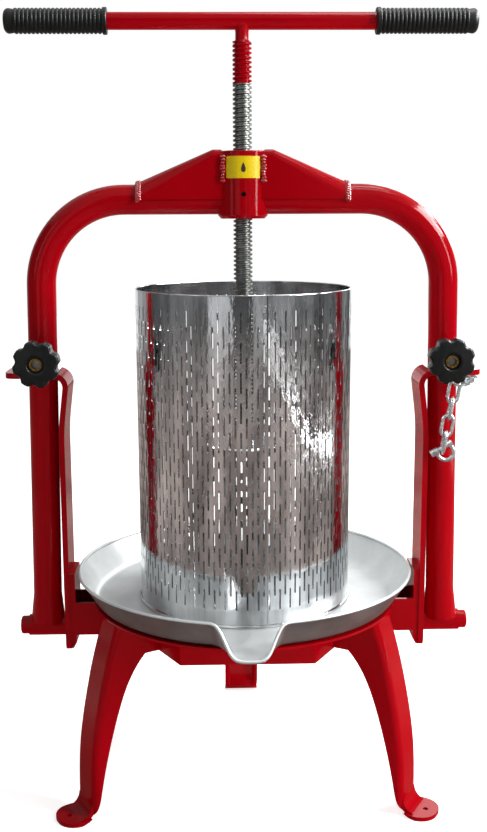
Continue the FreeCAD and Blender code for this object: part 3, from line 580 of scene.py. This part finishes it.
def basket():
    made = bmesh.new()
    slotted_column(made, 0, SLOT_FIRST)
    slotted_column(made, math.pi / SLOT_COLUMNS, SLOT_FIRST + SLOT_PERIOD / 2)
    bmesh.ops.recalc_face_normals(made, faces=made.faces)
    pair = bpy.data.meshes.new("pair")
    made.to_mesh(pair)
    made.free()
    wall = thickened(repeated(pair, MIRROR, SLOT_COLUMNS, turn_by=360 / SLOT_COLUMNS), BASKET_WALL)
    inner = BASKET_RADIUS - BASKET_WALL
    floor = turned([(0, BASKET_BOTTOM), (inner, BASKET_BOTTOM), (inner, BASKET_BOTTOM + BASKET_WALL),
                    (0, BASKET_BOTTOM + BASKET_WALL)], 128)
    # The foot of the wall is rolled outwards over a wire, and its top edge is dressed round
    foot = bead(BASKET_RADIUS + 0.6, BASKET_BOTTOM + BASKET_FOOT_BEAD, BASKET_FOOT_BEAD)
    edge = bead(BASKET_RADIUS - BASKET_WALL / 2, BASKET_TOP - 0.5, BASKET_TOP_BEAD)
    return together(wall, floor, foot, edge)


def basket_seam():
    """The lap of the basket's sheet, one edge standing over the other."""
    seam_turn = math.asin(SEAM_ACROSS / BASKET_RADIUS)
    rings = []
    for height in (BASKET_BOTTOM + 3.5, BASKET_TOP):
        ring = []
        for across, out in ((-0.3, 0.0), (0.9, 0.0), (0.9, 0.75), (-0.3, 0.55)):
            angle = -math.pi / 2 + seam_turn + across / BASKET_RADIUS
            ring.append(polar(BASKET_RADIUS - 0.1 + out, angle, height))
        rings.append(ring)
    lap = skin(rings)
    for ring in (rings[0][::-1], rings[1]):
        lap = together(lap, skin([ring[:2], [ring[3], ring[2]]], around=False))
    return outwards(lap)


piece("slotted_basket", basket(), MIRROR, "basket_body", "stainless", "basket", sharp=30)
piece("basket_seam", basket_seam(), MIRROR, "basket_body", "stainless")


# Pan: spun floor and wall, with the wall drawn forwards and down into a spout


def smooth_run(points, count):
    """Evenly spread points on a smooth curve through the given ones."""
    dense = []
    padded = [points[0]] + points + [points[-1]]
    for before, start, end, after in zip(padded, padded[1:], padded[2:], padded[3:]):
        for step in range(24):
            t = step / 24
            dense.append(tuple(
                0.5 * (2 * b + (c - a) * t + (2 * a - 5 * b + 4 * c - d) * t * t
                       + (3 * b - a - 3 * c + d) * t ** 3)
                for a, b, c, d in zip(before, start, end, after)))
    dense.append(points[-1])
    lengths = [0.0]
    for start, end in zip(dense, dense[1:]):
        lengths.append(lengths[-1] + math.dist(start, end))
    spaced = []
    at = 0
    for index in range(count):
        wanted = lengths[-1] * index / (count - 1)
        while at < len(dense) - 2 and lengths[at + 1] < wanted:
            at += 1
        share = (wanted - lengths[at]) / max(lengths[at + 1] - lengths[at], 1e-9)
        spaced.append(tuple(a + (b - a) * share for a, b in zip(dense[at], dense[at + 1])))
    return spaced


def pan_line(half, radius, height):
    """A closed line seen anticlockwise from above: out of the spout's tip, round the pan and back."""
    right = [(x, y, PAN_FLOOR + z) for x, y, z in smooth_run(half, SPOUT_STEPS)]
    start = math.atan2(half[0][1], half[0][0])
    sweep = math.pi - 2 * start
    angles = [start + sweep * step / ROUND_STEPS for step in range(1, ROUND_STEPS)]
    circle = [polar(radius, angle, height) for angle in angles]
    return right[::-1] + circle + [(-x, y, z) for x, y, z in right[:-1]]


def between(start, end, share):
    """The point that lies a share of the way from one point to another."""
    return tuple(a + (b - a) * share for a, b in zip(start, end))


def juice_pan():
    edge = pan_line(SPOUT_EDGE, PAN_RIM_RADIUS, PAN_RIM_HEIGHT)
    foot = pan_line(SPOUT_FOOT, PAN_WALL_FOOT, PAN_FLOOR + PAN_SHEET)
    columns = []
    for low, high in zip(foot, edge):
        out = math.hypot(low[0], low[1])
        inside = (low[0] * (1 - PAN_BEND / out), low[1] * (1 - PAN_BEND / out), low[2])
        above = between(low, high, min(PAN_BEND / math.dist(low, high), 0.45))
        column = [between(between(inside, low, share), between(low, above, share), share)
                  for share in (0, 0.2, 0.4, 0.6, 0.8, 1)]
        column += [between(above, high, share) for share in (0.33, 0.67, 1)]
        columns.append(column)
    rings = [list(ring) for ring in zip(*columns)]
    # Under the basket the floor needs only a few rings
    floor = [[(x * share, y * share, z) for x, y, z in rings[0]] for share in (0.3, 0.6, 0.85)]
    sheet = skin(([[(0, 0, PAN_FLOOR + PAN_SHEET)]] + floor + rings)[::-1])
    return together(thickened(sheet, PAN_SHEET), wire_loop(edge, PAN_BEAD))


piece("juice_pan_sheet", juice_pan(), SATIN, "pan", "pan_steel", "juice_pan", sharp=50)


# Screw: one turn of the thread, copied up its length and cut level at its ends


def cut_level(mesh, height, keep_above):
    """The mesh cut by a level plane and closed there."""
    made = bmesh.new()
    made.from_mesh(mesh)
    geometry = made.verts[:] + made.edges[:] + made.faces[:]
    cut = bmesh.ops.bisect_plane(made, geom=geometry, plane_co=(0, 0, height * MM), plane_no=(0, 0, 1),
                                 clear_inner=keep_above, clear_outer=not keep_above)
    rim = [item for item in cut["geom_cut"] if isinstance(item, bmesh.types.BMEdge)]
    bmesh.ops.contextual_create(made, geom=rim)
    made.to_mesh(mesh)
    made.free()
    return mesh


def threaded(bottom, top):
    """The thread between two heights, as a closed shape."""
    crest = SCREW_RADIUS - 0.05
    profile = [(SCREW_ROOT, 0.0), (SCREW_ROOT, 1.45), (crest - 0.4, 2.2), (crest, 2.5), (crest, 4.0),
               (crest - 0.4, 4.3), (SCREW_ROOT, 5.0)]
    angles = full_turn(40) + [2 * math.pi]
    one = skin([[polar(radius, angle, rise + THREAD_PITCH * angle / (2 * math.pi)) for angle in angles]
                for radius, rise in profile], around=False)
    count = int((top - bottom) / THREAD_PITCH) + 3
    turns = repeated(one, STEEL, count, step=(0, 0, THREAD_PITCH))
    whole = moved(turns, shift(0, 0, bottom - 2 * THREAD_PITCH))
    return outwards(cut_level(cut_level(whole, bottom, True), top, False))


def journal():
    """The plain end below the thread."""
    low, high = JOURNAL_BOTTOM, THREAD_BOTTOM + 1
    return turned([(0, low), (JOURNAL_RADIUS, low), (JOURNAL_RADIUS, high), (0, high)], 48)


def neck():
    """The screw's end above the thread, with the weld under the handle bar."""
    thread, bar = THREAD_TOP, HANDLE_HEIGHT
    return turned([(0, thread - 2), (SCREW_RADIUS - 0.5, thread - 2), (SCREW_RADIUS - 1.2, thread - 0.6),
                   (8.2, thread + 0.6), (7.7, thread + 2), (7.6, thread + 10), (8.2, bar - 8),
                   (9.6, bar - 5.4), (8.0, bar - 1), (0, bar - 1)], 64)


piece("screw_thread", together(threaded(THREAD_BOTTOM, PAINT_BOTTOM), journal()), STEEL, "press_screw",
      "screw_steel", "screw")
piece("screw_painted_top", together(threaded(PAINT_BOTTOM, THREAD_TOP), neck()), RED, "press_screw",
      "red_enamel")


# Handle grips: a rib copied along, between a collar and a rounded end


def grip():
    length = GRIP_END - GRIP_START
    low = GRIP_RADIUS - 1.1
    rib = turned([(low, 0.0), (GRIP_RADIUS - 0.25, 0.5), (GRIP_RADIUS, 1.1), (GRIP_RADIUS, 2.5),
                  (GRIP_RADIUS - 0.25, 3.1), (low, 3.6), (low, RIB_PITCH)], 64)
    ribs = moved(repeated(rib, VINYL, RIB_COUNT, step=(0, 0, RIB_PITCH)), shift(0, 0, RIBS_START))
    collar = turned([(HANDLE_RADIUS, 0), (14.0, 0), (14.7, 0.7), (14.7, 4.3), (14.0, 5.0), (low, 5.0),
                     (low, RIBS_START)], 64)
    tail = [(low, RIBS_START + RIB_COUNT * RIB_PITCH)]
    rounding = 5.5
    for step in range(7):
        around = math.pi / 2 * step / 6
        tail.append((13.5 - rounding + rounding * math.cos(around),
                     length - rounding + rounding * math.sin(around)))
    tail += [(0, length)]
    bore = turned([(0, 4), (HANDLE_RADIUS, 4), (HANDLE_RADIUS, 0)], 64)
    body = together(ribs, collar, turned(tail, 64), bore)
    return moved(outwards(body), turn(90, "Y"), shift(GRIP_START, 0, HANDLE_HEIGHT))


right_grip = grip()
piece("right_grip_ribbed", right_grip, VINYL, "press_screw", "black_plastic", "right_grip")
piece("left_grip_ribbed", flipped(right_grip), VINYL, "press_screw", "black_plastic", "left_grip")


# Clamp knobs


def knob(first_lobe):
    """A knob with its axis along Y, its first lobe turned by some degrees from straight up."""
    steps = 24 * KNOB_LOBES
    valley_out = KNOB_RADIUS - KNOB_VALLEY_DEPTH + KNOB_VALLEY
    outline = []
    for step in range(steps):
        angle = 2 * math.pi * (step + 0.5) / steps
        off = (angle + math.pi / KNOB_LOBES) % (2 * math.pi / KNOB_LOBES) - math.pi / KNOB_LOBES
        reach = KNOB_RADIUS
        if valley_out * abs(math.sin(off)) < KNOB_VALLEY:
            hollow = math.sqrt(KNOB_VALLEY ** 2 - (valley_out * math.sin(off)) ** 2)
            reach = min(reach, valley_out * math.cos(off) - hollow)
        outline.append(reach)
    # The edges between lobes and valleys are rubbed round
    for _ in range(3):
        outline = [(outline[at - 1] + 2 * outline[at] + outline[(at + 1) % steps]) / 4
                   for at in range(steps)]

    def ring(inset, y, plain=None):
        """A row of points round the knob's axis, set in from the lobed outline or plainly round."""
        row = []
        for step in range(steps):
            angle = 2 * math.pi * (step + 0.5) / steps + math.radians(first_lobe) - math.pi / KNOB_LOBES
            reach = plain if plain else outline[step] - inset
            row.append((reach * math.sin(angle), y, reach * math.cos(angle)))
        return row

    # From the rear: the boss, the lobes with both their rounded edges, and the recess round the insert
    back, front = KNOB_LOBE_REAR, KNOB_FRONT
    rows = [ring(0, KNOB_REAR, 7.0), ring(0, KNOB_REAR, 13.0), ring(0, KNOB_REAR - 1, 14.0),
            ring(0, back + 2, 14.0), ring(0, back, 15.5), ring(2.0, back), ring(0.6, back - 0.7),
            ring(0, back - 2.2), ring(0, front + 3.2), ring(0.5, front + 1.5), ring(1.6, front + 0.4),
            ring(3.2, front), ring(0, front, 15.0), ring(0, front - 0.5, 12.6), ring(0, front - 0.5, 10.4),
            ring(0, front + 0.2, 9.5), ring(0, front + 4.0, 9.3), ring(0, front + 4.0, 7.0)]
    return moved(outwards(skin(rows, along=True)), shift(0, 0, KNOB_HEIGHT))


for side, sign, lean in (("left", -1, -15), ("right", 1, 21)):
    lobes = moved(knob(lean), shift(sign * KNOB_X, 0, 0))
    piece(side + "_lobed_knob", lobes, BLACK, side + "_clamp", "black_plastic", side + "_knob", sharp=50)


# Label on the boss, with a plain drop on it


def on_boss(x, z, lift):
    """The point that lies x along the boss's round front, at a height and a little off its face."""
    return polar(NUT_RADIUS + lift, x / NUT_RADIUS - math.pi / 2, z)


def boss_label():
    low, high, corner = LABEL_BOTTOM, LABEL_TOP, LABEL_CORNER
    rows = []
    for z, inset in ((low, corner), (low + 0.5, 0.6), (low + corner, 0), ((low + high) / 2, 0),
                     (high - corner, 0), (high - 0.5, 0.6), (high, corner)):
        reach = LABEL_HALF - inset
        rows.append([on_boss(-reach + 2 * reach * step / 24, z, LABEL_LIFT) for step in range(25)])
    return thickened(skin(rows, around=False), LABEL_FILM)


def drop_mark():
    """A plain drop: round below, and drawn out to a point above."""
    outline = []
    for around in full_turn(40):
        width = 3.6 * math.sin(around) * math.sin(around / 2) ** 1.3
        outline.append((width, DROP_MIDDLE + DROP_HALF * math.cos(around)))
    rows = [[on_boss(0, DROP_MIDDLE - 2, INK_LIFT)], [on_boss(x, z, INK_LIFT) for x, z in outline]]
    return thickened(outwards(skin(rows)), 0.1)


# Weld beads: a flat ball copied so closely that each covers half of the one before


def weld_ball(radius):
    """One ripple of a weld."""
    side = [(radius * math.sin(math.pi * step / 6), -radius * math.cos(math.pi * step / 6))
            for step in range(1, 6)]
    return turned([(0, -radius)] + side + [(0, radius)], 12)


def straight_weld(start):
    """Ripples standing over each other on an upright joint, from its lower end."""
    ball = moved(weld_ball(3.4), Matrix.Diagonal((1.35, 1, 0.7, 1)))
    count = round(WELD_LENGTH / WELD_STEP)
    run = repeated(ball, WET_RED, count, step=(0, 0, WELD_STEP), turn_by=137, weld=0)
    return moved(run, shift(*start))


def saddle_weld():
    """Ripples over the end of the right gusset, from its front edge to its rear one."""
    wide = moved(weld_ball(3.3), Matrix.Diagonal((1, 0.7, 1, 1)), shift(GUSSET_HALF - 1.6, 0, 0))
    small = moved(weld_ball(2.7), shift(GUSSET_HALF - 1.4, 0, 2.0), turn(4, "Z"))
    count = 23
    bend = repeated(together(wide, small), WET_RED, count, turn_by=180 / (count - 1), weld=0)
    return moved(bend, turn(90, "Y"), turn(90, "X"), shift(GUSSET_END + 0.6, 0, ARCH_AXIS))


def gusset_welds():
    """The beads on both sides of the boss, in front and behind, and at the gussets' ends."""
    across = math.sqrt(NUT_RADIUS ** 2 - GUSSET_HALF ** 2) + 2.2
    upright = [straight_weld((across, y, ARCH_AXIS + 20)) for y in (-GUSSET_HALF, GUSSET_HALF)]
    right = together(saddle_weld(), *upright)
    return together(right, flipped(right))


piece("gusset_welds", gusset_welds(), WET_RED, "arch", "red_enamel")
piece("boss_label", boss_label(), YELLOW, "arch", None)
piece("boss_label_drop", drop_mark(), INK, "arch", None)


# Chain: one link copied down, each turned a quarter more, then leant like the real strand


def chain():
    """A link's line is its upper bow and then its lower one, which join up by two straights."""
    run = []
    for step in range(13):
        around = math.pi * step / 12
        run.append((LINK_BOW * math.cos(around), 0, LINK_STRAIGHT + LINK_BOW * math.sin(around)))
    run += [(-x, 0, -z) for x, _, z in run]
    link = wire_loop(run, LINK_WIRE)
    links = repeated(link, ZINC, LINK_COUNT, step=(0, 0, -LINK_PITCH), turn_by=90, weld=0)
    return moved(links, shift(0, 0, -LINK_STRAIGHT), turn(CHAIN_LEAN, "Y"),
                 shift(CHAIN_X, CHAIN_Y, FIRST_LINK + LINK_STRAIGHT))


piece("welded_chain", chain(), ZINC, "chain", "zinc", "chain_links")


# CAD pieces that keep their shape get their real finish
FINISHES = {"red_enamel": RED, "stainless": MIRROR, "pan_steel": SATIN, "screw_steel": STEEL, "zinc": ZINC,
            "brass": BRASS, "black_plastic": BLACK}
for part in frame["record"]["subparts"]:
    made = nodes[part["node"]]
    for holder in made.material_slots:
        holder.material = FINISHES[part["material_slot"]]
# The ends of the studs, deep in the knobs, get the darker screw steel: painted shade in the knobs'
# recesses
for side in ("left", "right"):
    for holder in nodes[side + "_clamp_stud"].material_slots:
        holder.material = STEEL


# Stage: a white floor that keeps a faint shadow, a white room, and cards that paint what the metal mirrors


def seen_directly(tree):
    """1 on rays from the camera, in gloss and through glass, and 0 on those that only carry light."""
    path = add(tree, "ShaderNodeLightPath").outputs
    seen = add(tree, "ShaderNodeMath", {0: path["Is Camera Ray"], 1: path["Is Glossy Ray"]},
               operation="MAXIMUM")
    return add(tree, "ShaderNodeMath", {0: seen, 1: path["Is Transmission Ray"]}, operation="MAXIMUM")


def stage_floor():
    made, tree, shader = surface("white_studio_floor", Roughness=0.9, Base_Color=linear("#F4F4F4"))
    # Beside the press the lamps add the rest of the white, and far from it the glow is all there is
    place = add(tree, "ShaderNodeTexCoord").outputs["Object"]
    reach = add(tree, "ShaderNodeVectorMath", {0: place}, operation="LENGTH")
    level = add(tree, "ShaderNodeMapRange", {
        "Value": reach, "From Min": 0.6, "From Max": 3.0, "To Min": 0.72, "To Max": 0.94})
    lit = add(tree, "ShaderNodeMath", {0: seen_directly(tree), 1: level}, operation="MULTIPLY")
    glow = add(tree, "ShaderNodeEmission", {"Strength": lit})
    both = add(tree, "ShaderNodeAddShader", {0: shader, 1: glow})
    out = next(item for item in tree.nodes if item.type == "OUTPUT_MATERIAL")
    tree.links.new(both.outputs[0], out.inputs["Surface"])
    half = FLOOR_HALF
    floor = bpy.data.objects.new("studio_floor", skin(
        [[(-half, -half, 0), (half, -half, 0)], [(-half, half, 0), (half, half, 0)]], around=False))
    floor.data.materials.append(made)
    bpy.context.scene.collection.objects.link(floor)


def studio_room():
    """A room that is white to look at, and dim as a light."""
    world = bpy.data.worlds.new("studio_room")
    bpy.context.scene.world = world
    world.use_nodes = True
    tree = world.node_tree
    tree.nodes.clear()
    level = add(tree, "ShaderNodeMix", {"Factor": seen_directly(tree), "A": ROOM_LIGHT, "B": 1.0},
                data_type="FLOAT")
    room = add(tree, "ShaderNodeBackground", {"Color": (1, 1, 1, 1), "Strength": level})
    add(tree, "ShaderNodeOutputWorld", {0: room})


def reflected_only(name, mesh, material):
    """A piece of the studio that shows in the metal and the gloss, and nowhere else."""
    made = bpy.data.objects.new(name, mesh)
    made.data.materials.append(material)
    made.visible_camera = False
    made.visible_diffuse = False
    made.visible_shadow = False
    made.visible_transmission = False
    bpy.context.scene.collection.objects.link(made)


def glowing(name, strength=1.0):
    """A material that only gives off light, with its node tree and the node that does so."""
    made, tree = blank(name)
    glow = add(tree, "ShaderNodeEmission", {"Strength": strength})
    add(tree, "ShaderNodeOutputMaterial", {"Surface": glow})
    return made, tree, glow


def dim_room():
    """Painted reflections of the studio's unlit sides: a glowing shell that only shows in metal and gloss.
    """
    made, tree, glow = glowing("dim_room")
    place = add(tree, "ShaderNodeTexCoord").outputs["Object"]
    x, y, z = add(tree, "ShaderNodeSeparateXYZ", {0: place}).outputs
    forwards = add(tree, "ShaderNodeMath", {0: y, 1: -1.0}, operation="MULTIPLY")
    round_by = add(tree, "ShaderNodeMath", {0: x, 1: forwards}, operation="ARCTAN2")
    share = add(tree, "ShaderNodeMapRange", {"Value": round_by, "From Min": -math.pi, "From Max": math.pi})
    ramp = add(tree, "ShaderNodeValToRGB", {"Fac": share})
    stops = ramp.color_ramp.elements
    while len(stops) < len(ROOM_SIDES):
        stops.new(0.5)
    for stop, (degrees, level) in zip(stops, ROOM_SIDES):
        stop.position = 0.5 + degrees / 360
        stop.color = (level, level, level, 1)
    # Low down the sides give way to the floor, which is the same all round
    climb = add(tree, "ShaderNodeMapRange", {"Value": z, "From Min": 0.03, "From Max": 0.22})
    side = add(tree, "ShaderNodeMix", {"Factor": climb, "A": ROOM_FLOOR_LEVEL, "B": ramp},
               data_type="FLOAT")
    strips = add(tree, "ShaderNodeMapRange", {
        "Value": clouds(tree, 1.6, 4.0, 0.55, (1, 1, 0.12)), "From Min": 0.3, "From Max": 0.7,
        "To Min": 0.3, "To Max": 1.8})
    streaked = add(tree, "ShaderNodeMath", {0: side, 1: strips}, operation="MULTIPLY")
    # Close to the press the glow is darkened: a painted shadow of the press on the mirrored floor
    reach = add(tree, "ShaderNodeVectorMath", {0: place}, operation="LENGTH")
    shade = add(tree, "ShaderNodeMapRange", {
        "Value": reach, "From Min": 0.35, "From Max": 0.62, "To Min": 0.35, "To Max": 1.0})
    level = add(tree, "ShaderNodeMath", {0: streaked, 1: shade}, operation="MULTIPLY")
    tree.links.new(level.outputs[0], glow.inputs["Strength"])
    # The floor out there is a warm brown, and the walls are grey
    rise = add(tree, "ShaderNodeMapRange", {"Value": z, "From Min": 0.03, "From Max": 0.3})
    colour = add(tree, "ShaderNodeMix", {"Factor": rise, "A": linear("#F4E0D8"), "B": linear("#EFF2F4")},
                 data_type="RGBA")
    tree.links.new(colour.outputs["Result"], glow.inputs["Color"])
    room = skin([[polar(radius, angle, height) for angle in full_turn(90)]
                 for radius, height in ROOM_FLOOR])
    for start, sweep, low in ROOM_WALLS:
        angles = [math.radians(-90 + start + sweep * step / 80) for step in range(81)]
        rows = [[polar(ROOM_RADIUS, angle, height) for angle in angles] for height in (low, ROOM_TOP)]
        room = together(room, skin(rows, around=False))
    reflected_only("dim_room", room, made)


def lit_edge():
    """A glowing strip, seen only in reflections: the painted broken highlight in the basket's right side.
    """
    rows = [[(x, y, z) for x, y, z, _ in SHEET_EDGE],
            [(x, y, z + thickness) for x, y, z, thickness in SHEET_EDGE]]
    made = glowing("lit_sheet_edge", SHEET_GLOW)[0]
    reflected_only("lit_sheet_edge", skin(rows, around=False), made)


def tall_window():
    """Glowing pane high on the right, seen only in reflections: painted highlight on the arch's right
    bend.
    """
    rows = [[(x, y, z) for y in WINDOW_SIDES] for x, z in WINDOW_EDGES]
    made = glowing("window_pane", WINDOW_GLOW)[0]
    reflected_only("window_pane", skin(rows, around=False), made)


def softbox(name, place, aim, size, watts):
    lamp = bpy.data.lights.new(name, "AREA")
    lamp.shape = "RECTANGLE"
    lamp.size, lamp.size_y = size
    lamp.energy = watts
    made = bpy.data.objects.new(name, lamp)
    made.location = place
    made.rotation_euler = (Vector(aim) - Vector(place)).to_track_quat("-Z", "Y").to_euler()
    bpy.context.scene.collection.objects.link(made)


def camera_view():
    camera = bpy.data.cameras.new("camera")
    camera.sensor_width = CAMERA_SENSOR
    camera.lens = CAMERA_LENS
    viewer = bpy.data.objects.new("camera", camera)
    viewer.matrix_world = (shift(*CAMERA_PLACE) @ turn(-CAMERA_TURN, "Z") @ turn(90 - CAMERA_DIP, "X")
                           @ turn(-CAMERA_ROLL, "Z"))
    bpy.context.scene.collection.objects.link(viewer)
    bpy.context.scene.camera = viewer
    bpy.context.scene.view_settings.view_transform = "Standard"


stage_floor()
studio_room()
dim_room()
lit_edge()
tall_window()
for name, (place, aim, size, watts) in SOFTBOXES.items():
    softbox(name, place, aim, size, watts)
camera_view()
